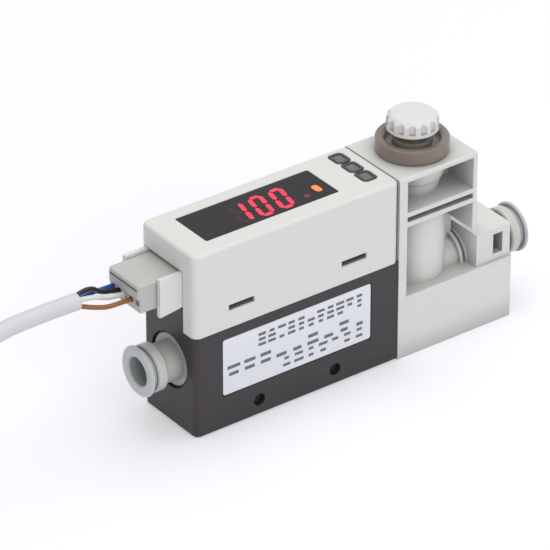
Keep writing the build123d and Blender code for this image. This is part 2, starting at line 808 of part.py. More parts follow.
# White valve block: lower deck, tower with windows on both sides, valve column and outlet box
with BuildPart() as valve_block:
    with BuildSketch():
        with Locations(((joint_face + outlet_face) / 2, 0)):
            Rectangle(block_length, body_width)
    extrude(amount=deck_height)
    with BuildSketch(Plane.XY.offset(deck_height)):
        with Locations(((joint_face + tower_end) / 2, 0)):
            Rectangle(tower_length, body_width)
    extrude(amount=body_height - deck_height)
    with BuildSketch(Plane.XY.offset(deck_height)):
        with Locations(((joint_face + box_start + outlet_face) / 2, 0)):
            Rectangle(block_length - box_start, body_width - 2 * box_recess)
    extrude(amount=box_top - deck_height)
    fillet(valve_block.edges().filter_by(Axis.Z).group_by(Axis.X)[-1], 0.5)
    fillet(valve_block.faces().sort_by(Axis.Z)[-1].edges().filter_by(Axis.X), 0.5)
    # Windows, cut from both sides down to a middle web
    window_left = joint_face + post_width
    window_right = tower_end - right_post_width
    bands = [
        (window_right, upper_rib_top, body_height - deck_top),
        (window_right, lower_rib_top, upper_rib_top - rib_thickness),
        (window_right, deck_height, lower_rib_top - rib_thickness),
        (joint_face + box_start, deck_height, deck_height + low_window_rise),
    ]
    for side in (-1, 1):
        for right, low, high in bands:
            with BuildSketch(Plane.XZ.offset(side * half_width)):
                with Locations(((window_left + right) / 2, (low + high) / 2)):
                    Rectangle(right - window_left, high - low)
            extrude(amount=-side * (half_width - web_thickness / 2), mode=Mode.SUBTRACT)
    # Column, bowl and outlet pipe in the windows
    with BuildSketch(Plane.XY.offset(deck_height)):
        with Locations((valve_axis, 0)):
            Circle(column_radius)
    extrude(amount=lower_rib_top - deck_height)
    with BuildSketch(Plane.XY.offset(lower_rib_top - rib_thickness)):
        with Locations((valve_axis, 0)):
            Circle(column_collar_radius)
    extrude(amount=-column_collar_height)
    with BuildSketch(Plane(origin=(valve_axis, 0, 0), x_dir=(1, 0, 0), z_dir=(0, -1, 0))):
        with BuildLine():
            foot = (bowl_foot_radius, upper_rib_top - 2 * rib_thickness)
            lip = (bowl_top_radius, body_height - deck_top)
            waist = (bowl_foot_radius, upper_rib_top)
            Line((0, foot[1]), foot)
            Line(foot, waist)
            TangentArc(waist, lip, tangent=(0.25, 1))
            Line(lip, (0, lip[1]))
            Line((0, lip[1]), (0, foot[1]))
        make_face()
    revolve(axis=Axis((valve_axis, 0, 0), (0, 0, 1)))
    with BuildSketch(Plane.YZ.offset(valve_axis)):
        with Locations((0, port_height)):
            Circle(pipe_radius)
    extrude(amount=joint_face + box_start - valve_axis + 0.5)
    for start in (box_start - 1.7, box_start - 0.4):
        with BuildSketch(Plane.YZ.offset(joint_face + start)):
            with Locations((0, port_height)):
                Circle(pipe_ring_radius)
        extrude(amount=pipe_ring_width)
    # Spigot that enters the base, with the groove of its seal
    with BuildSketch(port_profile(joint_face, -1)):
        with BuildLine():
            Polyline(
                (-1, 0),
                (-1, spigot_radius),
                (0.8, spigot_radius),
                (0.8, spigot_radius - 0.9),
                (2.0, spigot_radius - 0.9),
                (2.0, spigot_radius),
                (spigot_length, spigot_radius),
                (spigot_length, 0),
                close=True,
            )
        make_face()
    revolve(axis=port_axis(joint_face, -1))
    with BuildSketch(Plane.YZ.offset(joint_face - spigot_length)):
        with Locations((0, port_height)):
            Circle(spigot_bore)
    extrude(amount=2 * spigot_length, mode=Mode.SUBTRACT)
    # Passages: under the needle, up through the seat, out of the chamber's side
    with BuildSketch(Plane.YZ.offset(joint_face)):
        with Locations((0, entry_height)):
            Circle(entry_bore)
    extrude(amount=valve_axis - joint_face + entry_bore, mode=Mode.SUBTRACT)
    with BuildSketch(Plane.XY.offset(entry_height)):
        with Locations((valve_axis, 0)):
            Circle(seat_bore)
    extrude(amount=seat_height - entry_height, mode=Mode.SUBTRACT)
    with BuildSketch(Plane.XY.offset(seat_height)):
        with Locations((valve_axis, 0)):
            Circle(valve_chamber)
    extrude(amount=bonnet_foot - seat_height, mode=Mode.SUBTRACT)
    with BuildSketch(Plane.YZ.offset(valve_axis)):
        with Locations((0, port_height + side_bore_rise)):
            Circle(entry_bore)
    extrude(amount=outlet_face - valve_axis - tube_seat_depth + 1, mode=Mode.SUBTRACT)
    with BuildSketch(Plane.XY.offset(bonnet_foot)):
        with Locations((valve_axis, 0)):
            Circle(bonnet_radius + running_gap)
    extrude(amount=body_height - bonnet_foot, mode=Mode.SUBTRACT)
    with BuildSketch(Plane.XY.offset(bonnet_flange_z)):
        with Locations((valve_axis, 0)):
            Circle(bonnet_flange_radius + running_gap)
    extrude(amount=body_height - bonnet_flange_z, mode=Mode.SUBTRACT)
    # Pocket of the outlet fitting, its clip slot and the window beside the clip
    with BuildSketch(port_profile(*ports["outlet"])):
        with BuildLine():
            Polyline(*pocket_outline(relief=False), close=True)
        make_face()
    revolve(axis=port_axis(*ports["outlet"]), mode=Mode.SUBTRACT)
    with BuildSketch(Plane.XZ.offset(barrel_radius + clip_back / 2)):
        with Locations((outlet_face - clip_centre, port_height)):
            Rectangle(clip_slot_width, 2 * clip_slot_span())
    extrude(amount=-body_width, mode=Mode.SUBTRACT)
    with BuildSketch(Plane.XZ.offset(half_width)):
        with Locations((outlet_face - clip_centre, port_height + (clip_window_low + clip_window_high) / 2)):
            Rectangle(clip_slot_width + 0.4, clip_window_high - clip_window_low)
    extrude(amount=-half_width + barrel_radius - 1, mode=Mode.SUBTRACT)
    # Holes for the joint screws
    with BuildSketch(Plane.YZ.offset(joint_face - 1)):
        with Locations((-screw_y, screw_z), (screw_y, screw_z)):
            Circle(screw_radius + slip_gap)
    extrude(amount=block_length + 2, mode=Mode.SUBTRACT)
    with BuildSketch(Plane.YZ.offset(outlet_face)):
        with Locations((-screw_y, screw_z), (screw_y, screw_z)):
            Circle(screw_head_radius + slip_gap)
    extrude(amount=-screw_sink, mode=Mode.SUBTRACT)
valve_block.part.label = "valve_block"
export_step(valve_block.part, "parts/valve_block.step")

# Seal between the base and the valve block
with BuildPart() as joint_seal:
    with BuildSketch(port_profile(joint_face, -1)):
        with Locations((1.4, spigot_radius - 0.9 + 0.45)):
            Circle(0.45)
    revolve(axis=port_axis(joint_face, -1))
joint_seal.part.label = "joint_seal"
export_step(joint_seal.part, "parts/joint_seal.step")

# Two long screws that join the valve block to the base
with BuildPart() as block_screws:
    head_seat = outlet_face - screw_sink
    with BuildSketch(Plane.YZ.offset(head_seat)):
        with Locations((-screw_y, screw_z), (screw_y, screw_z)):
            Circle(screw_head_radius)
    extrude(amount=screw_head_height)
    with BuildSketch(Plane.YZ.offset(head_seat + screw_head_height)):
        with Locations((-screw_y, screw_z), (screw_y, screw_z)):
            Rectangle(2.4, 0.5)
            Rectangle(0.5, 2.4)
    extrude(amount=-0.8, mode=Mode.SUBTRACT)
    with BuildSketch(Plane.YZ.offset(head_seat)):
        with Locations((-screw_y, screw_z), (screw_y, screw_z)):
            Circle(screw_radius - 2 * running_gap)
    extrude(amount=joint_face - screw_bite - head_seat)
block_screws.part.label = "block_screws"
export_step(block_screws.part, "parts/block_screws.step")

# Bonnet of the throttle valve
valve_profile = Plane(origin=(valve_axis, 0, 0), x_dir=(1, 0, 0), z_dir=(0, -1, 0))
valve_line = Axis((valve_axis, 0, 0), (0, 0, 1))
with BuildPart() as valve_bonnet:
    with BuildSketch(valve_profile):
        with BuildLine():
            Polyline(
                (stem_radius + running_gap, bonnet_foot),
                (bonnet_radius, bonnet_foot),
                (bonnet_radius, bonnet_ring_z - stem_groove_width / 2),
                (bonnet_radius - bonnet_groove_depth, bonnet_ring_z - stem_groove_width / 2),
                (bonnet_radius - bonnet_groove_depth, bonnet_ring_z + stem_groove_width / 2),
                (bonnet_radius, bonnet_ring_z + stem_groove_width / 2),
                (bonnet_radius, bonnet_flange_z),
                (bonnet_flange_radius, bonnet_flange_z),
                (bonnet_flange_radius, bonnet_flange_z + bonnet_flange_thickness),
                (bonnet_radius, bonnet_flange_z + bonnet_flange_thickness),
                (bonnet_radius, bonnet_top),
                (stem_radius + running_gap, bonnet_top),
                close=True,
            )
        make_face()
    revolve(axis=valve_line)
valve_bonnet.part.label = "valve_bonnet"
export_step(valve_bonnet.part, "parts/valve_bonnet.step")

with BuildPart() as bonnet_o_ring:
    with BuildSketch(valve_profile):
        with Locations((bonnet_radius - bonnet_groove_depth + bonnet_ring_section, bonnet_ring_z)):
            Circle(bonnet_ring_section)
    revolve(axis=valve_line)
bonnet_o_ring.part.label = "bonnet_o_ring"
export_step(bonnet_o_ring.part, "parts/bonnet_o_ring.step")

# Needle with its stem
disc_bottom = seat_height + needle_lift_down + seat_gap
with BuildPart() as needle_stem:
    with BuildSketch(valve_profile):
        with BuildLine():
            Polyline(
                (0, disc_bottom - needle_tip_length),
                (needle_tip_radius, disc_bottom - needle_tip_length),
                (needle_cone_radius, disc_bottom),
                (needle_disc_radius, disc_bottom),
                (needle_disc_radius, disc_bottom + needle_disc_height),
                (stem_neck_radius, disc_bottom + needle_disc_height),
                (stem_neck_radius, stem_foot),
                (stem_radius, stem_foot),
                (stem_radius, stem_ring_z - stem_groove_width / 2),
                (stem_radius - 2 * stem_ring_section, stem_ring_z - stem_groove_width / 2),
                (stem_radius - 2 * stem_ring_section, stem_ring_z + stem_groove_width / 2),
                (stem_radius, stem_ring_z + stem_groove_width / 2),
                (stem_radius, stem_top),
                (0, stem_top),
                close=True,
            )
        make_face()
    revolve(axis=valve_line)
needle_stem.part.label = "needle_stem"
export_step(needle_stem.part, "parts/needle_stem.step")

with BuildPart() as stem_o_ring:
    with BuildSketch(valve_profile):
        with Locations((stem_radius - stem_ring_section, stem_ring_z)):
            Circle(stem_ring_section)
    revolve(axis=valve_line)
stem_o_ring.part.label = "stem_o_ring"
export_step(stem_o_ring.part, "parts/stem_o_ring.step")

# Lock ring on the bonnet, a shallow cup round the knob's foot
ring_bottom = body_height + seat_gap
with BuildPart() as lock_ring:
    with BuildSketch(valve_profile):
        with BuildLine():
            Polyline(
                (bonnet_radius + running_gap, ring_bottom),
                (lock_ring_radius - 0.2, ring_bottom),
                (lock_ring_radius, ring_bottom + 0.2),
                (lock_ring_radius, ring_bottom + lock_ring_height - 0.35),
                (lock_ring_radius - 0.35, ring_bottom + lock_ring_height),
                (lock_ring_recess + 0.5, ring_bottom + lock_ring_height),
                (lock_ring_recess, ring_bottom + lock_ring_height - 0.4),
                (lock_ring_recess, ring_bottom + lock_ring_floor),
                (bonnet_radius + running_gap, ring_bottom + lock_ring_floor),
                close=True,
            )
        make_face()
    revolve(axis=valve_line)
lock_ring.part.label = "lock_ring"
export_step(lock_ring.part, "parts/lock_ring.step")

# Fluted knob on the stem
with BuildPart() as adjust_knob:
    with BuildSketch(valve_profile):
        with BuildLine():
            shoulder = knob_bottom + knob_shoulder
            rim = shoulder + knob_chamfer
            Line((0, knob_bottom), (knob_radius - 0.2, knob_bottom))
            Line((knob_radius - 0.2, knob_bottom), (knob_radius, knob_bottom + 0.2))
            Line((knob_radius, knob_bottom + 0.2), (knob_radius, shoulder))
            Line((knob_radius, shoulder), (knob_top_radius, rim))
            dome_height = knob_top - rim
            dome_radius = (knob_top_radius**2 + dome_height**2) / (2 * dome_height)
            dome_middle = rim + dome_height - dome_radius + sqrt(dome_radius**2 - knob_top_radius**2 / 4)
            ThreePointArc(
                (knob_top_radius, rim),
                (knob_top_radius / 2, dome_middle),
                (0, rim + dome_height),
            )
            Line((0, knob_top), (0, knob_bottom))
        make_face()
    revolve(axis=valve_line)
    with BuildSketch(Plane.XY.offset(knob_bottom + knob_band)):
        with Locations((valve_axis, 0)):
            with PolarLocations(knob_radius + flute_radius / 3, knob_flutes):
                Circle(flute_radius)
    extrude(amount=knob_height, mode=Mode.SUBTRACT)
    with BuildSketch(Plane.XY.offset(knob_bottom)):
        with Locations((valve_axis, 0)):
            Circle(stem_radius + running_gap)
    extrude(amount=stem_top + seat_gap - knob_bottom, mode=Mode.SUBTRACT)
adjust_knob.part.label = "adjust_knob"
export_step(adjust_knob.part, "parts/adjust_knob.step")

# Plug of the lead, with a cavity for each way
plug_front = inlet_face - plug_reach
plug_back = inlet_face + plug_insert
with BuildPart() as plug_housing:
    with BuildSketch(Plane.XY.offset(plug_bottom)):
        with Locations(((plug_front + plug_back) / 2, connector_y)):
            Rectangle(plug_back - plug_front, plug_width)
    extrude(amount=plug_top - plug_bottom)
    fillet(plug_housing.edges().filter_by(Axis.Z).group_by(Axis.X)[0], 0.7)
    fillet(plug_housing.faces().sort_by(Axis.Z)[-1].edges().filter_by(Axis.X), 0.4)
    with BuildSketch(Plane.YZ.offset(plug_front)):
        with Locations((connector_y, plug_top - plate_thickness - slit_height / 2)):
            Rectangle(slit_length, slit_height)
    extrude(amount=slit_depth, mode=Mode.SUBTRACT)
    with BuildSketch(Plane.YZ.offset(plug_front)):
        with Locations((connector_y, plug_bottom + 1.5)):
            Rectangle(plug_width, 3.0)
    extrude(amount=core_face_recess, mode=Mode.SUBTRACT)
    with BuildSketch(Plane.YZ.offset(plug_back)):
        with Locations(*[(y, connector_z) for y in way_ys]):
            Rectangle(cavity_side, cavity_side)
    extrude(amount=-plug_insert - cavity_end, mode=Mode.SUBTRACT)
    with BuildSketch(Plane.YZ.offset(plug_front)):
        with Locations(*[(y, connector_z) for y in way_ys]):
            Circle(core_radius + slip_gap)
    extrude(amount=plug_reach, mode=Mode.SUBTRACT)
plug_housing.part.label = "plug_housing"
export_step(plug_housing.part, "parts/plug_housing.step")

# Crimped contacts of the four ways in use; the first way is blank
used_ys = way_ys[1:]
contact_end = inlet_face - cavity_end + 0.3
with BuildPart() as plug_contacts:
    with BuildSketch(Plane.YZ.offset(contact_end)):
        with Locations(*[(y, connector_z) for y in used_ys]):
            Rectangle(contact_side, contact_side)
    extrude(amount=contact_length)
    with BuildSketch(Plane.YZ.offset(contact_end + 1.2)):
        with Locations(*[(y, connector_z) for y in used_ys]):
            Rectangle(pin_side + 0.14, pin_side + 0.14)
    extrude(amount=contact_length, mode=Mode.SUBTRACT)
plug_contacts.part.label = "plug_contacts"
export_step(plug_contacts.part, "parts/plug_contacts.step")


def route_radii(points):
    """Bend radius at each inner point: 0.45 of the shorter run over the tangent of half the turn."""
    radii = []
    for before, here, after in zip(points, points[1:], points[2:]):
        first = Vector(*here) - Vector(*before)
        second = Vector(*after) - Vector(*here)
        half_turn = radians(first.get_angle(second)) / 2
        radii.append(0.45 * min(first.length, second.length) / tan(half_turn))
    return radii


def print_route(name, points, radii, tube, section_radius):
    """Prints a route's bends and compares the tube's volume with its section times its length."""
    length = tube[1].length
    filled = tube[0].volume / (pi * section_radius**2 * length)
    print(name, "radii", [round(r, 1) for r in radii], "length", round(length, 1), "fill", round(filled, 4))


# Sheathed lead: straight out of the plug's cores, then down onto the near side of the hank
sheath_x, sheath_y, sheath_z = -60.5, 0.5, 35.0
lead_points = [
    (sheath_x, sheath_y, sheath_z),
    (-70.5, 0.4, 35.3),
    (-81.0, 0.4, 34.6),
    (-91.0, -1.2, 30.6),
    (-99.3, -3.7, 23.6),
    (-107.8, -5.9, 16.3),
    (-118.0, -7.1, 12.4),
    (-130.0, -7.25, 12.27),
]
lead_radii = route_radii(lead_points)
with BuildPart() as cable_run:
    with BuildLine() as lead_line:
        FilletPolyline(*lead_points, radius=lead_radii)
    with BuildSketch(Plane(origin=lead_line.wire() @ 0, z_dir=lead_line.wire() % 0)):
        Circle(sheath_radius)
    sweep(path=lead_line.wire())
cable_run.part.label = "cable_run"
print_route("lead", lead_points, lead_radii, (cable_run.part, lead_line.wire()), sheath_radius)
export_step(cable_run.part, "parts/cable_run.step")

# Put-away hank of the rest of the lead, low enough for a tube to pass over it into the inlet port
hank_outer = hank_fold_radius + (2 * hank_columns - 1) * sheath_radius
hank_inner = hank_fold_radius - sheath_radius
hank_x = lead_points[-1][0] + hank_entry
hank_y = lead_points[-1][1] + hank_outer - sheath_radius
hank_height = 2 * sheath_radius * hank_layers
with BuildPart() as cable_hank:
    with BuildSketch():
        with Locations((hank_x, hank_y)):
            SlotCenterToCenter(hank_run, 2 * hank_outer)
            SlotCenterToCenter(hank_run, 2 * hank_inner, mode=Mode.SUBTRACT)
    extrude(amount=hank_height)
    fillet(cable_hank.edges().group_by(Axis.Z)[0], 0.9 * sheath_radius)
    fillet(cable_hank.edges().group_by(Axis.Z)[-1], 0.9 * sheath_radius)
cable_hank.part.label = "cable_hank"
export_step(cable_hank.part, "parts/cable_hank.step")

# Four coloured cores between the plug and the sheath
core_start = contact_end - 0.1
core_routes = {
    "core_brown": [
        (core_start, way_ys[1], connector_z),
        (-52.2, way_ys[1], connector_z - 0.1),
        (-56.0, -0.5, 32.2),
        (sheath_x, sheath_y - core_offset, sheath_z - core_offset),
    ],
    "core_white": [
        (core_start, way_ys[2], connector_z),
        (-52.4, way_ys[2], connector_z + 0.3),
        (-56.4, 0.6, 34.6),
        (sheath_x, sheath_y - core_offset, sheath_z + core_offset),
    ],
    "core_black": [
        (core_start, way_ys[3], connector_z),
        (-52.6, way_ys[3], connector_z + 0.3),
        (-56.2, 2.6, 36.0),
        (sheath_x, sheath_y + core_offset, sheath_z + core_offset),
    ],
    "core_blue": [
        (core_start, way_ys[4], connector_z),
        (-51.8, way_ys[4], connector_z + 0.2),
        (-56.4, 3.0, 33.9),
        (sheath_x, sheath_y + core_offset, sheath_z - core_offset),
    ],
}
for name, points in core_routes.items():
    radii = route_radii(points)
    with BuildPart() as core:
        with BuildLine() as core_line:
            FilletPolyline(*points, radius=radii)
        with BuildSketch(Plane(origin=core_line.wire() @ 0, z_dir=core_line.wire() % 0)):
            Circle(core_radius)
        sweep(path=core_line.wire())
    core.part.label = name
    print_route(name, points, radii, (core.part, core_line.wire()), core_radius)
    export_step(core.part, f"parts/{name}.step")

# Bare cores at the far end of the lead, lying on the hank's far fold
core_bed = hank_height + core_radius + 0.02
fold_x = hank_x - hank_run / 2
end_core_ring = (hank_outer + hank_inner) / 2
lead_end_z = hank_height + sheath_radius + 0.02
with BuildPart() as end_cores:
    for i, (across, up) in enumerate([(-1, -1), (-1, 1), (1, 1), (1, -1)]):
        ring = end_core_ring + (i - 1.5) * end_core_pitch
        start_y = hank_y + end_core_ring + across * end_core_offset
        points = [(fold_x + core_radius, start_y, lead_end_z + up * end_core_offset)]
        for turn in end_core_turns:
            points.append((fold_x + ring * cos(radians(turn)), hank_y + ring * sin(radians(turn)), core_bed))
        with BuildLine() as end_line:
            FilletPolyline(*points, radius=route_radii(points))
        with BuildSketch(Plane(origin=end_line.wire() @ 0, z_dir=end_line.wire() % 0)):
            Circle(core_radius)
        sweep(path=end_line.wire())
end_cores.part.label = "end_cores"
export_step(end_cores.part, "parts/end_cores.step")
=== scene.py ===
import math

import bmesh
import bpy
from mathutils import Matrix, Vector


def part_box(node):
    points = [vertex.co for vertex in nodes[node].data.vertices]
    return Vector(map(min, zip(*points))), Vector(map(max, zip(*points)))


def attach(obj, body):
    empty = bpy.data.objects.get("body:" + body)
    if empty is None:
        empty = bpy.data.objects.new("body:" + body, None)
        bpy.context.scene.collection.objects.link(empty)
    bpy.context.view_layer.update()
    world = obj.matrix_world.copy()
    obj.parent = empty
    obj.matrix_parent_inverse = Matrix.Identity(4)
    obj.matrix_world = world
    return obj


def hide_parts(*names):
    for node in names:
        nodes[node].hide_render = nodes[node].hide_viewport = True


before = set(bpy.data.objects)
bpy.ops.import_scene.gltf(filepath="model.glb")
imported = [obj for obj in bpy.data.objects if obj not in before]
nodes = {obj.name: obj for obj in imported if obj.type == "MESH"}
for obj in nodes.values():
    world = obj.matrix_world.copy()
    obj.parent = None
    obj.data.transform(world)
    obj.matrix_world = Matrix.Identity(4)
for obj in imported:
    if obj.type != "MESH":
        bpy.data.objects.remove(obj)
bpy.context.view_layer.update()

scene = bpy.context.scene
mm = 0.001
mergeDistance = 1e-7
print("frame loaded:", len(nodes), "nodes")

# camera at the photograph's angle, aimed at the middle of what it shows
cameraSettings = {
    "aim": (-13.25, 0.6, 23.8),
    "azimuth": -36.57,
    "elevation": 31.17,
    "distance": 900,
    "lens": 297.9,
    "sensor": 36,
    "clipStart": 0.01,
}

# soft studio: a broad lamp above, a weaker one from the camera's left, pale air all round
studio = {
    "topWatts": 2.6,
    "topSize": 0.8,
    "topPlace": (0.10, 0.05, 0.75),
    "sideWatts": 1.7,
    "sideSize": 0.7,
    "sidePlace": (-0.15, -0.70, 0.35),
    "ambient": 0.45,
    "floorColour": (236, 233, 239),
    "floorLift": 0.30,
    "floorHalf": 3,
    "floorDrop": 2e-5,
}


# small helpers
def shade(red, green, blue):
    linear = []
    for value in (red, green, blue):
        value = value / 255
        linear.append(value / 12.92 if value <= 0.04045 else ((value + 0.055) / 1.055) ** 2.4)
    return (*linear, 1.0)


def toMetres(points):
    return [tuple(value * mm for value in point) for point in points]


def paint(piece, material):
    piece.data.materials.clear()
    piece.data.materials.append(material)


def addPiece(name, data, material, body):
    piece = bpy.data.objects.new(name, data)
    scene.collection.objects.link(piece)
    paint(piece, material)
    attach(piece, body)
    return piece


def meshFrom(name, build):
    work = bmesh.new()
    build(work)
    bmesh.ops.remove_doubles(work, verts=work.verts, dist=mergeDistance)
    bmesh.ops.recalc_face_normals(work, faces=work.faces)
    mesh = bpy.data.meshes.new(name)
    work.to_mesh(mesh)
    work.free()
    return mesh


# a flat plate from an outline in millimetres, between two heights
def addPlate(work, outline, low, high):
    bottom = [work.verts.new(Vector((x, y, low)) * mm) for x, y in outline]
    top = [work.verts.new(Vector((x, y, high)) * mm) for x, y in outline]
    work.faces.new(top)
    work.faces.new(list(reversed(bottom)))
    for i in range(len(outline)):
        j = (i + 1) % len(outline)
        work.faces.new((bottom[i], bottom[j], top[j], top[i]))


def roundedOutline(x, y, width, depth, radius, steps=5):
    outline = []
    for corner, (sx, sy) in enumerate([(1, 1), (-1, 1), (-1, -1), (1, -1)]):
        for step in range(steps + 1):
            angle = math.radians(90 * corner + 90 * step / steps)
            outline.append((x + sx * (width / 2 - radius) + radius * math.cos(angle),
                            y + sy * (depth / 2 - radius) + radius * math.sin(angle)))
    return outline


# what all finishes share: shares of the grain's scale and the roughness, and lengths in millimetres
finishSettings = {
    "cloudScale": 1 / 12,
    "cloudDetail": 3,
    "grainDetail": 2,
    # painted shade: how far the darkening in corners reaches, how finely it is sampled, and its usual share
    "paintedShadeReach": 6,
    "paintedShadeSamples": 6,
    "paintedShadeShare": 0.22,
    "polishFrom": (0.3, 0.7),
    "polishTo": (0.88, 1.12),
    "edge": 0.16,
    "edgeSamples": 4,
    "reliefDepth": 0.05,
}

# materials: every finish is mottled, has a grain in its roughness and relief, soft edges, and painted shade
# in its corners and openings; the depth entry sets how strong that painted shade is
finishes = {
    "blackHousing": {"colour": (52, 47, 52), "rough": 0.46, "grain": 5200, "relief": 0.25, "mottle": 0.10},
    "whiteHousing": {"colour": (235, 235, 232), "rough": 0.50, "grain": 4600, "relief": 0.14,
                     "mottle": 0.015},
    "whiteBlock": {"colour": (231, 233, 229), "rough": 0.42, "grain": 3900, "relief": 0.14, "mottle": 0.02,
                   "depth": 0.6},
    "darkWindow": {"colour": (15, 9, 12), "rough": 0.12, "grain": 2400, "relief": 0.01, "mottle": 0.05,
                   "specular": 0.25, "edge": 0.08},
    "keyRubber": {"colour": (66, 64, 66), "rough": 0.55, "grain": 6000, "relief": 0.2, "mottle": 0.08},
    # painted highlight: a lighter grey for the middle of each dished key
    "keyPad": {"colour": (118, 116, 118), "rough": 0.5, "grain": 6000, "relief": 0.2, "mottle": 0.06},
    "foil": {"colour": (236, 239, 245), "rough": 0.36, "grain": 2600, "relief": 0.05, "mottle": 0.03,
             "metal": 0.25, "stretch": (0.02, 1, 1)},
    "print": {"colour": (112, 112, 120), "rough": 0.5, "grain": 5200, "relief": 0.05, "mottle": 0.12},
    "fittingResin": {"colour": (214, 216, 210), "rough": 0.36, "grain": 4200, "relief": 0.08, "mottle": 0.02,
                     "depth": 0.8},
    "releaseResin": {"colour": (208, 213, 213), "rough": 0.34, "grain": 4200, "relief": 0.08, "mottle": 0.02,
                     "depth": 0.8},
    "knobResin": {"colour": (236, 236, 234), "rough": 0.40, "grain": 4200, "relief": 0.10, "mottle": 0.015,
                  "depth": 0.8},
    "smokedResin": {"colour": (172, 158, 148), "rough": 0.2, "grain": 3000, "relief": 0.04, "mottle": 0.08,
                    "transmission": 0.45},
    "steel": {"colour": (176, 178, 180), "rough": 0.28, "grain": 3000, "relief": 0.08, "mottle": 0.05,
              "metal": 1.0, "stretch": (1, 1, 0.03)},
    "brass": {"colour": (200, 168, 104), "rough": 0.3, "grain": 3000, "relief": 0.06, "mottle": 0.06,
              "metal": 1.0, "stretch": (1, 1, 0.05)},
    "tinned": {"colour": (196, 198, 200), "rough": 0.32, "grain": 3600, "relief": 0.05, "mottle": 0.05,
               "metal": 1.0},
    "sealRubber": {"colour": (34, 34, 36), "rough": 0.62, "grain": 5200, "relief": 0.2, "mottle": 0.12},
    "boardMask": {"colour": (22, 84, 52), "rough": 0.35, "grain": 900, "relief": 0.3, "mottle": 0.35},
    "chipBlack": {"colour": (38, 38, 40), "rough": 0.5, "grain": 4200, "relief": 0.2, "mottle": 0.15},
    "shroudResin": {"colour": (236, 237, 236), "rough": 0.42, "grain": 4200, "relief": 0.10, "mottle": 0.015},
    "plugResin": {"colour": (201, 200, 197), "rough": 0.44, "grain": 4200, "relief": 0.12, "mottle": 0.025},
    "sheathVinyl": {"colour": (222, 223, 227), "rough": 0.40, "grain": 2600, "relief": 0.10, "mottle": 0.02},
    "brownVinyl": {"colour": (150, 98, 52), "rough": 0.36, "grain": 2600, "relief": 0.06, "mottle": 0.06},
    "whiteVinyl": {"colour": (236, 236, 238), "rough": 0.36, "grain": 2600, "relief": 0.06, "mottle": 0.02},
    "blackVinyl": {"colour": (34, 28, 30), "rough": 0.34, "grain": 2600, "relief": 0.06, "mottle": 0.10},
    "blueVinyl": {"colour": (44, 92, 190), "rough": 0.34, "grain": 2600, "relief": 0.06, "mottle": 0.05},
    "tieNylon": {"colour": (226, 226, 222), "rough": 0.4, "grain": 3000, "relief": 0.10, "mottle": 0.03},
}


def makeFinish(name, look):
    settings = finishSettings
    material = bpy.data.materials.new(name)
    material.use_nodes = True
    tree = material.node_tree
    tree.nodes.clear()
    add, link = tree.nodes.new, tree.links.new
    out = add("ShaderNodeOutputMaterial")
    body = add("ShaderNodeBsdfPrincipled")
    link(body.outputs["BSDF"], out.inputs["Surface"])
    coords = add("ShaderNodeTexCoord")
    spread = add("ShaderNodeMapping")
    spread.inputs["Scale"].default_value = look.get("stretch", (1, 1, 1))
    link(coords.outputs["Object"], spread.inputs["Vector"])
    cloud = add("ShaderNodeTexNoise")  # slow change of tone over the piece
    cloud.inputs["Scale"].default_value = look["grain"] * settings["cloudScale"]
    cloud.inputs["Detail"].default_value = settings["cloudDetail"]
    link(spread.outputs["Vector"], cloud.inputs["Vector"])
    grain = add("ShaderNodeTexNoise")  # the moulded or drawn grain
    grain.inputs["Scale"].default_value = look["grain"]
    grain.inputs["Detail"].default_value = settings["grainDetail"]
    link(spread.outputs["Vector"], grain.inputs["Vector"])
    tone = add("ShaderNodeMix")
    tone.data_type = "RGBA"
    red, green, blue, _ = shade(*look["colour"])
    tone.inputs[6].default_value = (*[c * (1 - look["mottle"]) for c in (red, green, blue)], 1)
    tone.inputs[7].default_value = (*[min(1.0, c * (1 + look["mottle"])) for c in (red, green, blue)], 1)
    link(cloud.outputs["Fac"], tone.inputs[0])
    # painted shade: ambient occlusion darkens the colour in corners and openings
    paintedShade = add("ShaderNodeAmbientOcclusion")  # corners and openings are a little darker
    paintedShade.samples = settings["paintedShadeSamples"]
    paintedShade.inputs["Distance"].default_value = settings["paintedShadeReach"] * mm
    link(tone.outputs[2], paintedShade.inputs["Color"])
    # painted shade: the plain tone mixed with its darkened copy, by the finish's depth share
    depth = add("ShaderNodeMix")
    depth.data_type = "RGBA"
    depth.inputs[0].default_value = look.get("depth", settings["paintedShadeShare"])
    link(tone.outputs[2], depth.inputs[6])
    link(paintedShade.outputs["Color"], depth.inputs[7])
    link(depth.outputs[2], body.inputs["Base Color"])
    polish = add("ShaderNodeMapRange")
    for end, share, gain in zip(("Min", "Max"), settings["polishFrom"], settings["polishTo"]):
        polish.inputs["From " + end].default_value = share
        polish.inputs["To " + end].default_value = min(1.0, look["rough"] * gain)
    link(grain.outputs["Fac"], polish.inputs["Value"])
    link(polish.outputs["Result"], body.inputs["Roughness"])
    rounding = add("ShaderNodeBevel")
    rounding.samples = settings["edgeSamples"]
    rounding.inputs["Radius"].default_value = look.get("edge", settings["edge"]) * mm
    relief = add("ShaderNodeBump")
    relief.inputs["Strength"].default_value = look["relief"]
    relief.inputs["Distance"].default_value = settings["reliefDepth"] * mm
    link(grain.outputs["Fac"], relief.inputs["Height"])
    link(rounding.outputs["Normal"], relief.inputs["Normal"])
    link(relief.outputs["Normal"], body.inputs["Normal"])
    body.inputs["Metallic"].default_value = look.get("metal", 0.0)
    body.inputs["Specular IOR Level"].default_value = look.get("specular", 0.5)
    body.inputs["Transmission Weight"].default_value = look.get("transmission", 0.0)
    return material


def makeGlow(name, colour, strength):
    material = makeFinish(name, {"colour": colour, "rough": 0.3, "grain": 3200, "relief": 0.02,
                                 "mottle": 0.05, "edge": 0.02})
    body = material.node_tree.nodes["Principled BSDF"]
    body.inputs["Emission Color"].default_value = shade(*colour)
    body.inputs["Emission Strength"].default_value = strength
    return material


paints = {name: makeFinish(name, look) for name, look in finishes.items()}
print("materials made:", len(paints))

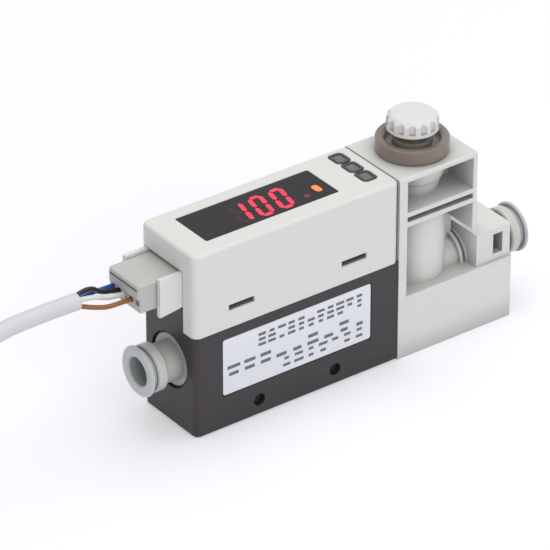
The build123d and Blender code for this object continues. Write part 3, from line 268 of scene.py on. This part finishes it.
# camera
cameraData = bpy.data.cameras.new("camera")
cameraData.lens = cameraSettings["lens"]
cameraData.sensor_width = cameraSettings["sensor"]
cameraData.clip_start = cameraSettings["clipStart"]
camera = bpy.data.objects.new("camera", cameraData)
scene.collection.objects.link(camera)
turn = math.radians(cameraSettings["azimuth"])
tilt = math.radians(cameraSettings["elevation"])
back = Vector((math.sin(turn) * math.cos(tilt), -math.cos(turn) * math.cos(tilt), math.sin(tilt)))
camera.location = (Vector(cameraSettings["aim"]) + back * cameraSettings["distance"]) * mm
camera.rotation_mode = "QUATERNION"
camera.rotation_quaternion = (-back).to_track_quat("-Z", "Y")
scene.camera = camera


# lamps, air and floor
def addLamp(name, watts, size, place):
    data = bpy.data.lights.new(name, "AREA")
    data.energy = watts
    data.size = size
    lamp = bpy.data.objects.new(name, data)
    scene.collection.objects.link(lamp)
    lamp.location = place
    lamp.rotation_mode = "QUATERNION"
    lamp.rotation_quaternion = (-Vector(place)).to_track_quat("-Z", "Y")


addLamp("topLamp", studio["topWatts"], studio["topSize"], studio["topPlace"])
addLamp("sideLamp", studio["sideWatts"], studio["sideSize"], studio["sidePlace"])


def addSeenRays(tree):
    rays = tree.nodes.new("ShaderNodeLightPath")
    first = tree.nodes.new("ShaderNodeMath")
    first.operation = "MAXIMUM"
    second = tree.nodes.new("ShaderNodeMath")
    second.operation = "MAXIMUM"
    tree.links.new(rays.outputs["Is Camera Ray"], first.inputs[0])
    tree.links.new(rays.outputs["Is Glossy Ray"], first.inputs[1])
    tree.links.new(first.outputs[0], second.inputs[0])
    tree.links.new(rays.outputs["Is Transmission Ray"], second.inputs[1])
    return second


world = bpy.data.worlds.new("air")
scene.world = world
world.use_nodes = True
airTree = world.node_tree
airTree.nodes.clear()
airOut = airTree.nodes.new("ShaderNodeOutputWorld")
airMix = airTree.nodes.new("ShaderNodeMixShader")
airDim = airTree.nodes.new("ShaderNodeBackground")
airDim.inputs["Strength"].default_value = studio["ambient"]
airWhite = airTree.nodes.new("ShaderNodeBackground")
airWhite.inputs["Color"].default_value = (1, 1, 1, 1)
airDim.inputs["Color"].default_value = (1, 1, 1, 1)
airTree.links.new(addSeenRays(airTree).outputs[0], airMix.inputs[0])
airTree.links.new(airDim.outputs[0], airMix.inputs[1])
airTree.links.new(airWhite.outputs[0], airMix.inputs[2])
airTree.links.new(airMix.outputs[0], airOut.inputs["Surface"])

floorMaterial = bpy.data.materials.new("paleFloor")
floorMaterial.use_nodes = True
floorTree = floorMaterial.node_tree
floorTree.nodes.clear()
floorOut = floorTree.nodes.new("ShaderNodeOutputMaterial")
floorSum = floorTree.nodes.new("ShaderNodeAddShader")
floorMatte = floorTree.nodes.new("ShaderNodeBsdfDiffuse")
floorMatte.inputs["Color"].default_value = shade(*studio["floorColour"])
floorGlow = floorTree.nodes.new("ShaderNodeEmission")
floorGain = floorTree.nodes.new("ShaderNodeMath")
floorGain.operation = "MULTIPLY"
floorGain.inputs[1].default_value = studio["floorLift"]
floorTree.links.new(addSeenRays(floorTree).outputs[0], floorGain.inputs[0])
floorTree.links.new(floorGain.outputs[0], floorGlow.inputs["Strength"])
floorTree.links.new(floorMatte.outputs[0], floorSum.inputs[0])
floorTree.links.new(floorGlow.outputs[0], floorSum.inputs[1])
floorTree.links.new(floorSum.outputs[0], floorOut.inputs["Surface"])
floorMesh = bpy.data.meshes.new("floor")
half, drop = studio["floorHalf"], studio["floorDrop"]
floorCorners = [(-half, -half, -drop), (half, -half, -drop), (half, half, -drop), (-half, half, -drop)]
floorMesh.from_pydata(floorCorners, [], [(0, 1, 2, 3)])
floor = bpy.data.objects.new("floor", floorMesh)
floor.data.materials.append(floorMaterial)
scene.collection.objects.link(floor)
scene.view_settings.view_transform = "Standard"
print("camera, lamps and floor placed")

# the lead: the source's route, then the hank's turns as more points of the same spline
leadSettings = {
    "route": [
        (-60.5, 0.5, 35.0), (-70.5, 0.4, 35.3), (-81.0, 0.4, 34.6), (-91.0, -1.2, 30.6),
        (-99.3, -3.7, 23.6), (-107.8, -5.9, 16.3), (-118.0, -7.1, 12.4), (-130.0, -7.25, 12.27),
    ],
    "diameter": 3.5,
    "foldNear": -98.0,
    "foldFar": -153.0,
    "middle": 9.75,
    "columns": [17.0, 13.5, 10.0],
    "layers": [8.75, 5.25, 1.75],
    "foldPoints": 6,
    "runShares": (0.2, 0.5, 0.8),
    "onTop": (-141.0, 12.27),
    "freeEnd": [
        (-99.0, -0.25, 1.75), (-105.0, 0.2, 1.75), (-112.0, 2.6, 2.3), (-119.0, 6.8, 4.4),
        (-126.0, 11.8, 7.4), (-133.0, 16.6, 10.4), (-140.5, 20.6, 12.3), (-147.0, 22.9, 12.45),
        (-153.0, 23.25, 12.27),
    ],
    "length": 1.84,
    "exit": (-49.25, 0.9, 32.4),
}


# every turn starts at the far fold, in the first half of which it shifts a column, and in the second
# half drops a layer
def hankPoints():
    near, far, middle = leadSettings["foldNear"], leadSettings["foldFar"], leadSettings["middle"]
    steps = leadSettings["foldPoints"]
    stack = []
    for layer, height in enumerate(leadSettings["layers"]):
        columns = leadSettings["columns"] if layer % 2 == 0 else list(reversed(leadSettings["columns"]))
        stack += [(radius, height) for radius in columns]
    radius, height = leadSettings["columns"][0], leadSettings["onTop"][1]
    points = [(leadSettings["onTop"][0], middle - radius, height)]
    for turn, (nextRadius, nextHeight) in enumerate(stack):
        for step in range(steps + 1):
            share = step / steps
            angle = math.radians(-90 - 180 * share)
            r = radius + (nextRadius - radius) * min(1, share * 2)
            z = height + (nextHeight - height) * max(0, share * 2 - 1)
            points.append((far + r * math.cos(angle), middle + r * math.sin(angle), z))
        radius, height = nextRadius, nextHeight
        for share in leadSettings["runShares"]:
            points.append((far + (near - far) * share, middle + radius, height))
        for step in range(steps + 1):
            angle = math.radians(90 - 180 * step / steps)
            points.append((near + radius * math.cos(angle), middle + radius * math.sin(angle), height))
        if turn < len(stack) - 1:
            for share in leadSettings["runShares"]:
                points.append((near + (far - near) * share, middle - radius, height))
    return points + leadSettings["freeEnd"]


def addCurve(name, routes, radius, material, resolution, sides):
    curve = bpy.data.curves.new(name, "CURVE")
    curve.dimensions = "3D"
    curve.resolution_u = resolution
    curve.bevel_depth = radius * mm
    curve.bevel_resolution = sides
    curve.use_fill_caps = True
    for route in routes:
        spline = curve.splines.new("NURBS")
        spline.points.add(len(route) - 1)
        for point, place in zip(spline.points, toMetres(route)):
            point.co = (*place, 1)
        spline.order_u = 3
        spline.use_endpoint_u = True
    return addPiece(name, curve, material, "root")


leadRoute = leadSettings["route"] + hankPoints()
lead = addCurve("lead", [leadRoute], leadSettings["diameter"] / 2, paints["sheathVinyl"], 3, 5)
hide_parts("cable_run", "cable_hank")

coreSettings = {
    "diameter": 1.0,
    "routes": {
        "brown": [(-46.45, -0.75, 31.9), (-52.2, -0.75, 31.8), (-56.0, -0.5, 32.2), (-60.9, -0.12, 34.4)],
        "white": [(-46.45, 1.25, 31.9), (-52.4, 1.25, 32.2), (-56.4, 0.6, 34.6), (-60.9, -0.12, 35.6)],
        "black": [(-46.45, 3.25, 31.9), (-52.6, 3.25, 32.2), (-56.2, 2.6, 36.0), (-60.9, 1.12, 35.6)],
        "blue": [(-46.45, 5.25, 31.9), (-51.8, 5.25, 32.1), (-56.4, 3.0, 33.9), (-60.9, 1.12, 34.4)],
    },
}
coreRadius = coreSettings["diameter"] / 2
for colour, route in coreSettings["routes"].items():
    core = addCurve(colour + "Core", [route], coreRadius, paints[colour + "Vinyl"],
                    12, 5)
    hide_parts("core_" + colour)

# bare cores at the far end, with stripped copper tips
endSettings = {
    "ring": 13.5,
    "pitch": 1.9,
    "starts": [(2.5, 12.27, 0.6, 0.6), (-0.5, 12.2, 0.8, 0.8)],
    "angles": (120, 150),
    "tipAngle": 164,
    "tipRadius": 0.25,
    "order": ["brown", "white", "black", "blue"],
    "sides": [(-1, -1), (-1, 1), (1, 1), (1, -1)],
    "level": 11.02,
}
tipRoutes = []
foldX, foldY = leadSettings["foldFar"], leadSettings["middle"]


def ringPlace(ring, angle):
    angle = math.radians(angle)
    return (foldX + ring * math.cos(angle), foldY + ring * math.sin(angle), endSettings["level"])


for i, (colour, (across, up)) in enumerate(zip(endSettings["order"], endSettings["sides"])):
    ring = endSettings["ring"] + (i - 1.5) * endSettings["pitch"]
    route = []
    for along, height, spread, rise in endSettings["starts"]:
        route.append((foldX + along, foldY + endSettings["ring"] + across * spread, height + up * rise))
    route += [ringPlace(ring, angle) for angle in endSettings["angles"]]
    tip = ringPlace(ring, endSettings["tipAngle"])
    tipRoutes.append([route[-1], tuple((a + b) / 2 for a, b in zip(route[-1], tip)), tip])
    endCore = addCurve(colour + "EndCore", [route], coreRadius, paints[colour + "Vinyl"],
                       8, 4)
    if i == 0:
        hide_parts("end_cores")
copperTips = addCurve("copperTips", tipRoutes, endSettings["tipRadius"], paints["brass"], 3, 3)

# a tie round the hank, seen along the object as pairs (y, z)
tieSettings = {
    "place": -125.0,
    "width": 4.5,
    "thickness": 0.5,
    "bulge": 0.4,
    "lowest": 0.05,
    "section": [
        (-8.6, 0.6), (-8.8, 1.4), (-8.8, 12.9), (-8.0, 13.8), (-6.4, 13.8), (-5.4, 12.6),
        (-4.4, 10.5), (27.4, 10.4), (28.3, 9.4), (28.3, 1.2), (27.6, 0.6),
    ],
}


def buildTie(work):
    section = [Vector(point) for point in tieSettings["section"]]
    middle = sum(section, Vector((0, 0))) / len(section)
    rows = []
    for sideways, outward in ((-1, 0), (1, 0), (1, 1), (-1, 1)):
        row = []
        x = tieSettings["place"] + sideways * tieSettings["width"] / 2
        for point in section:
            grown = point.copy()
            if outward:
                bulge = min(abs(grown.x - middle.x), tieSettings["bulge"])
                grown.x += math.copysign(bulge, grown.x - middle.x)
                grown.y += math.copysign(tieSettings["thickness"], grown.y - middle.y)
                grown.y = max(grown.y, tieSettings["lowest"])
            row.append(work.verts.new(Vector((x, grown.x, grown.y)) * mm))
        rows.append(row)
    for a in range(4):
        b = (a + 1) % 4
        for i in range(len(section)):
            j = (i + 1) % len(section)
            work.faces.new((rows[a][i], rows[a][j], rows[b][j], rows[b][i]))


tie = addPiece("hankTie", meshFrom("hankTie", buildTie), paints["tieNylon"], "root")
print("lead and its cores laid")

# finishes of the carried-over pieces
wears = {
    "blackHousing": ["lower_body"],
    "whiteHousing": ["upper_housing"],
    "whiteBlock": ["valve_block"],
    "darkWindow": ["display_window"],
    "keyRubber": ["down_button", "up_button", "set_button"],
    "foil": ["side_label"],
    "fittingResin": ["inlet_fitting", "outlet_fitting", "valve_bonnet"],
    "releaseResin": ["inlet_release_button", "outlet_release_button"],
    "knobResin": ["adjust_knob"],
    "smokedResin": ["lock_ring"],
    "steel": ["inlet_collet", "outlet_collet", "inlet_clip", "outlet_clip", "block_screws", "flow_mesh"],
    "brass": ["needle_stem"],
    "tinned": ["header_pins", "plug_contacts"],
    "sealRubber": ["inlet_seal", "outlet_seal", "inlet_o_ring", "outlet_o_ring", "joint_seal", "sensor_seal",
                   "bonnet_o_ring", "stem_o_ring"],
    "boardMask": ["circuit_board"],
    "chipBlack": ["display_module", "tact_switches", "flow_sensor"],
    "shroudResin": ["socket_header"],
    "plugResin": ["plug_housing"],
}
for finish, names in wears.items():
    for name in names:
        paint(nodes[name], paints[finish])
print("finishes given to the carried-over pieces")

# digits and indicators, lit on the dark window
displaySettings = {
    "digits": "100",
    "firstRight": -21.6,
    "pitch": 4.9,
    "width": 2.5,
    "foot": -4.1,
    "height": 7.7,
    "slant": 1.4,
    "stroke": 0.95,
    "gap": 0.12,
    "low": 0.004,
    "high": 0.03,
    "lampInset": 0.01,
    "lamps": [
        ((-4.45, -1.3), (1.5, 2.6), "orangeLamp", (236, 120, 52), 0.8),
        ((-7.75, -2.5), (1.2, 1.2), "redLamp", (110, 24, 30), 0.3),
    ],
}
litRed = makeGlow("litRed", (214, 26, 62), 0.9)
unlitRed = makeFinish("unlitRed", {"colour": (52, 14, 22), "rough": 0.2, "grain": 3200, "relief": 0.01,
                                   "mottle": 0.05, "specular": 0.25, "edge": 0.02})
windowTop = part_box("display_window")[1].z / mm
segmentsOf = {"0": "abcdef", "1": "bc"}


def digitCorners(right):
    width, height, slant = displaySettings["width"], displaySettings["height"], displaySettings["slant"]
    stroke, foot = displaySettings["stroke"], displaySettings["foot"]

    def at(x, share):
        return Vector((right + x + slant * share, foot + stroke / 2 + share * (height - stroke)))

    return {
        "a": (at(-width, 1), at(0, 1)),
        "b": (at(0, 1), at(0, 0.5)),
        "c": (at(0, 0.5), at(0, 0)),
        "d": (at(0, 0), at(-width, 0)),
        "e": (at(-width, 0), at(-width, 0.5)),
        "f": (at(-width, 0.5), at(-width, 1)),
        "g": (at(-width, 0.5), at(0, 0.5)),
    }


def addOnWindow(work, outline):
    addPlate(work, outline, windowTop + displaySettings["low"], windowTop + displaySettings["high"])


def addSegment(work, start, end, stroke, gap):
    along = (end - start).normalized()
    side = Vector((-along.y, along.x))
    start, end = start + along * gap, end - along * gap
    half = stroke / 2
    outline = [start, start + along * half - side * half, end - along * half - side * half, end,
               end - along * half + side * half, start + along * half + side * half]
    addOnWindow(work, [tuple(p) for p in outline])


def buildDigits(lit):
    def build(work):
        for place, digit in enumerate(displaySettings["digits"]):
            corners = digitCorners(displaySettings["firstRight"] + place * displaySettings["pitch"])
            for name, (start, end) in corners.items():
                if (name in segmentsOf[digit]) == lit:
                    addSegment(work, start, end, displaySettings["stroke"], displaySettings["gap"])
    return build


addPiece("litSegments", meshFrom("litSegments", buildDigits(True)), litRed, "root")
addPiece("unlitSegments", meshFrom("unlitSegments", buildDigits(False)), unlitRed, "root")
for (x, y), (width, depth), name, colour, strength in displaySettings["lamps"]:
    corner = min(width, depth) / 2 - displaySettings["lampInset"]
    outline = roundedOutline(x, y, width, depth, corner, 6)
    mesh = meshFrom(name, lambda work: addOnWindow(work, outline))
    addPiece(name, mesh, makeGlow(name, colour, strength), "root")
print("digits and lamps placed")

# painted highlight pads and printed marks of the keys
keySettings = {
    "middle": 6.2,
    "dishDepth": 0.25,
    "pad": (2.05, 2.7),
    "padCorner": 0.5,
    "padLow": 0.005,
    "padRise": 0.08,
    "markRise": 0.11,
    "triangle": [(-0.62, -0.372), (0.62, -0.372), (0, 0.434)],
    "dot": (1.1, 1.1, 0.5, 8),
    "keys": [("down_button", "down_key", -1), ("up_button", "up_key", 1), ("set_button", "set_key", 0)],
}


def addKeyPlate(name, outline, low, high, finish, body):
    mesh = meshFrom(name, lambda work: addPlate(work, outline, low, high))
    addPiece(name, mesh, paints[finish], body)


for name, body, point in keySettings["keys"]:
    low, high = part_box(name)
    x, y = keySettings["middle"], (low.y + high.y) / 2 / mm
    dish = high.z / mm - keySettings["dishDepth"]
    padTop = dish + keySettings["padRise"]
    pad = roundedOutline(x, y, *keySettings["pad"], keySettings["padCorner"])
    # painted highlight: a lighter plate in the dish of the key
    addKeyPlate(body + "Pad", pad, dish + keySettings["padLow"], padTop, "keyPad", body)
    if point:
        mark = [(x + across, y + point * along) for across, along in keySettings["triangle"]]
    else:
        mark = roundedOutline(x, y, *keySettings["dot"])
    addKeyPlate(body + "Mark", mark, padTop, dish + keySettings["markRise"], "print", body)
print("keys marked")


# shapes that repeat are node trees; each is turned into a plain mesh
def startTree(name, inputs):
    tree = bpy.data.node_groups.new(name, "GeometryNodeTree")
    for label, kind in inputs:
        tree.interface.new_socket(label, in_out="INPUT", socket_type="NodeSocket" + kind)
    tree.interface.new_socket("Geometry", in_out="OUTPUT", socket_type="NodeSocketGeometry")
    return tree, tree.nodes.new("NodeGroupInput"), tree.nodes.new("NodeGroupOutput")


def endTree(tree, enter, leave, shape):
    whole = tree.nodes.new("GeometryNodeRealizeInstances")
    coat = tree.nodes.new("GeometryNodeSetMaterial")
    tree.links.new(shape, whole.inputs[0])
    tree.links.new(whole.outputs[0], coat.inputs["Geometry"])
    tree.links.new(enter.outputs["Finish"], coat.inputs["Material"])
    tree.links.new(coat.outputs[0], leave.inputs[0])
    return tree


def growTree(name, tree, values, finish, body):
    holder = bpy.data.objects.new(name + "Seed", bpy.data.meshes.new(name + "Seed"))
    scene.collection.objects.link(holder)
    modifier = holder.modifiers.new("shape", "NODES")
    modifier.node_group = tree
    values = {**values, "Finish": finish}
    for socket in tree.interface.items_tree:
        if socket.item_type == "SOCKET" and socket.in_out == "INPUT":
            modifier[socket.identifier] = values[socket.name]
    bpy.context.view_layer.update()
    mesh = bpy.data.meshes.new_from_object(holder.evaluated_get(bpy.context.evaluated_depsgraph_get()))
    mesh.name = name
    bpy.data.objects.remove(holder)
    return addPiece(name, mesh, finish, body)


# bars in rows for the label's print
def makePrintTree():
    tree, enter, leave = startTree("printRows", [
        ("Columns", "Int"), ("Rows", "Int"), ("Length", "Float"), ("Height", "Float"), ("Bar", "Vector"),
        ("Corner", "Vector"), ("Seed", "Int"), ("Finish", "Material")])
    add, link = tree.nodes.new, tree.links.new
    grid = add("GeometryNodeMeshGrid")
    link(enter.outputs["Length"], grid.inputs["Size X"])
    link(enter.outputs["Height"], grid.inputs["Size Y"])
    link(enter.outputs["Columns"], grid.inputs["Vertices X"])
    link(enter.outputs["Rows"], grid.inputs["Vertices Y"])
    chance = add("FunctionNodeRandomValue")
    chance.data_type = "BOOLEAN"
    chance.inputs["Probability"].default_value = 0.16
    link(enter.outputs["Seed"], chance.inputs["Seed"])
    thin = add("GeometryNodeDeleteGeometry")
    link(grid.outputs["Mesh"], thin.inputs["Geometry"])
    link(chance.outputs[3], thin.inputs["Selection"])
    width = add("FunctionNodeRandomValue")
    width.inputs[2].default_value = 0.45
    width.inputs[3].default_value = 0.95
    link(enter.outputs["Seed"], width.inputs["Seed"])
    stretch = add("ShaderNodeCombineXYZ")
    link(width.outputs[1], stretch.inputs[0])
    stretch.inputs[1].default_value = 1
    stretch.inputs[2].default_value = 1
    bar = add("GeometryNodeMeshCube")
    link(enter.outputs["Bar"], bar.inputs["Size"])
    rows = add("GeometryNodeInstanceOnPoints")
    link(thin.outputs[0], rows.inputs["Points"])
    link(bar.outputs["Mesh"], rows.inputs["Instance"])
    link(stretch.outputs[0], rows.inputs["Scale"])
    stand = add("GeometryNodeTransform")
    stand.inputs["Rotation"].default_value = (math.radians(90), 0, 0)
    link(rows.outputs[0], stand.inputs["Geometry"])
    link(enter.outputs["Corner"], stand.inputs["Translation"])
    return endTree(tree, enter, leave, stand.outputs[0])


# a ring of rounded ribs about an axis
def makeRingTree():
    tree, enter, leave = startTree("ribRing", [
        ("Count", "Int"), ("Radius", "Float"), ("Rib", "Vector"), ("Centre", "Vector"), ("Turn", "Vector"),
        ("Finish", "Material")])
    add, link = tree.nodes.new, tree.links.new
    circle = add("GeometryNodeMeshCircle")
    link(enter.outputs["Count"], circle.inputs["Vertices"])
    link(enter.outputs["Radius"], circle.inputs["Radius"])
    place = add("GeometryNodeInputPosition")
    face = add("FunctionNodeAlignRotationToVector")
    face.axis = "X"
    link(place.outputs[0], face.inputs["Vector"])
    rib = add("GeometryNodeMeshUVSphere")
    rib.inputs["Segments"].default_value = 12
    rib.inputs["Rings"].default_value = 8
    rib.inputs["Radius"].default_value = 1
    ring = add("GeometryNodeInstanceOnPoints")
    link(circle.outputs["Mesh"], ring.inputs["Points"])
    link(rib.outputs["Mesh"], ring.inputs["Instance"])
    link(face.outputs[0], ring.inputs["Rotation"])
    link(enter.outputs["Rib"], ring.inputs["Scale"])
    stand = add("GeometryNodeTransform")
    link(ring.outputs[0], stand.inputs["Geometry"])
    link(enter.outputs["Centre"], stand.inputs["Translation"])
    link(enter.outputs["Turn"], stand.inputs["Rotation"])
    return endTree(tree, enter, leave, stand.outputs[0])


printTree = makePrintTree()
ringTree = makeRingTree()
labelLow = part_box("side_label")[0]
labelSettings = {
    "rows": [
        # left, low, length, height, columns, rows, bar height, seed
        (9.5, 8.6, 24.0, 2.3, 11, 3, 0.62, 3),
        (2.6, 4.4, 31.0, 1.6, 9, 2, 0.75, 5),
        (15.5, 1.6, 18.0, 1.5, 7, 2, 0.62, 9),
    ],
    "thickness": 0.02,
    "stand": 0.008,
    "fill": 0.95,
}
for i, (left, low, length, height, columns, rows, barHeight, seed) in enumerate(labelSettings["rows"]):
    bar = (length / columns * labelSettings["fill"], barHeight, labelSettings["thickness"])
    middle = labelLow + Vector((left + length / 2, -labelSettings["stand"], low + height / 2)) * mm
    growTree(f"labelPrint{i}", printTree, {
        "Columns": columns, "Rows": rows, "Length": length * mm, "Height": height * mm,
        "Bar": tuple(value * mm for value in bar), "Corner": tuple(middle), "Seed": seed,
    }, paints["print"], "root")

# teeth of the steel collets, seen in the ports
teethSettings = {
    "count": 16,
    "radius": 3.2,
    "tooth": (0.22, 0.3, 0.3),
}
for name in ("inlet", "outlet"):
    low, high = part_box(name + "_collet")
    centre = (low + high) / 2
    growTree(name + "Teeth", ringTree, {
        "Count": teethSettings["count"], "Radius": teethSettings["radius"] * mm,
        "Rib": tuple(v * mm for v in teethSettings["tooth"]), "Centre": (centre.x, 0, centre.z),
        "Turn": (0, math.radians(90), 0),
    }, paints["steel"], "root")
print("label and collet teeth made")
